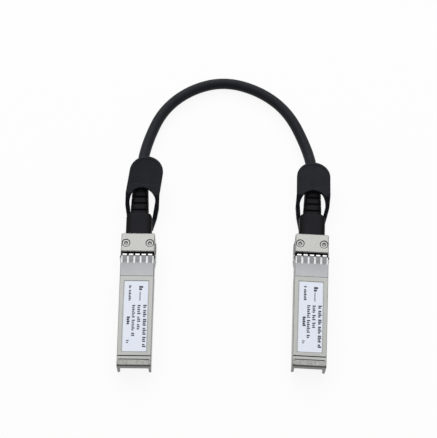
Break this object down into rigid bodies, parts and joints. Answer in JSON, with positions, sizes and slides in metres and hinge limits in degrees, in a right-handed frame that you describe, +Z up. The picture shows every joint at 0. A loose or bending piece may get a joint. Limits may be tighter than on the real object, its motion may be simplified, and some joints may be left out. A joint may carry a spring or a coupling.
{
  "type": "direct attach copper cable",
  "caption": "Direct attach copper cable: metal plug modules with sprung grounding fingers, pull-tab latches and ribbed strain reliefs on a short black twinax cable.",
  "frame": {"origin": "on the surface that the cable lies on, under the middle of the box round both plugs and their pull tabs", "axes": "+Z up, +Y from the plugs' mouths towards the cable's arch, +X from the left plug to the right one"},
  "size_m": [0.0861, 0.1346, 0.0105],
  "materials": {
    "housing": "nickel-plated zinc die casting, satin",
    "spring_steel": "nickel-plated spring sheet",
    "label": "matt printed film, left blank but for plain bars",
    "screw_steel": "plated steel",
    "circuit_board": "green solder mask",
    "gold_contact": "hard gold plate",
    "chip_body": "moulded epoxy",
    "capacitor": "ceramic",
    "wire_insulation": "foil-wrapped twinax cores",
    "ferrule": "tin-plated brass",
    "boot": "black moulded elastomer, matt",
    "slider_steel": "stamped stainless sheet",
    "pull_tab": "black moulded plastic, matt",
    "jacket": "black cable jacket, satin"
  },
  "bodies": {
    "root": {"base_housing_left": "housing", "top_cover_left": "housing", "grounding_spring_left": "spring_steel", "label_left": "label", "cover_screws_left": "screw_steel", "paddle_card_left": "circuit_board", "edge_contacts_left": "gold_contact", "memory_chip_left": "chip_body", "chip_capacitors_left": "capacitor", "twinax_pairs_left": "wire_insulation", "crimp_ferrule_left": "ferrule", "strain_relief_left": "boot", "return_spring_left": "spring_steel", "base_housing_right": "housing", "top_cover_right": "housing", "grounding_spring_right": "spring_steel", "label_right": "label", "cover_screws_right": "screw_steel", "paddle_card_right": "circuit_board", "edge_contacts_right": "gold_contact", "memory_chip_right": "chip_body", "chip_capacitors_right": "capacitor", "twinax_pairs_right": "wire_insulation", "crimp_ferrule_right": "ferrule", "strain_relief_right": "boot", "return_spring_right": "spring_steel", "cable_jacket": "jacket"},
    "left_latch": {"latch_slider_left": "slider_steel", "pull_tab_left": "pull_tab"},
    "right_latch": {"latch_slider_right": "slider_steel", "pull_tab_right": "pull_tab"}
  },
  "joints": [
    {"name": "left_latch_slide", "type": "slide", "parent": "root", "child": "left_latch", "axis": [-0.0218, 0.9998, 0], "range_m": [0, 0.0025], "stiffness_N_per_m": 500, "deforming": ["return_spring_left"]},
    {"name": "right_latch_slide", "type": "slide", "parent": "root", "child": "right_latch", "axis": [0.0218, 0.9998, 0], "range_m": [0, 0.0025], "stiffness_N_per_m": 500, "deforming": ["return_spring_right"]}
  ]
}
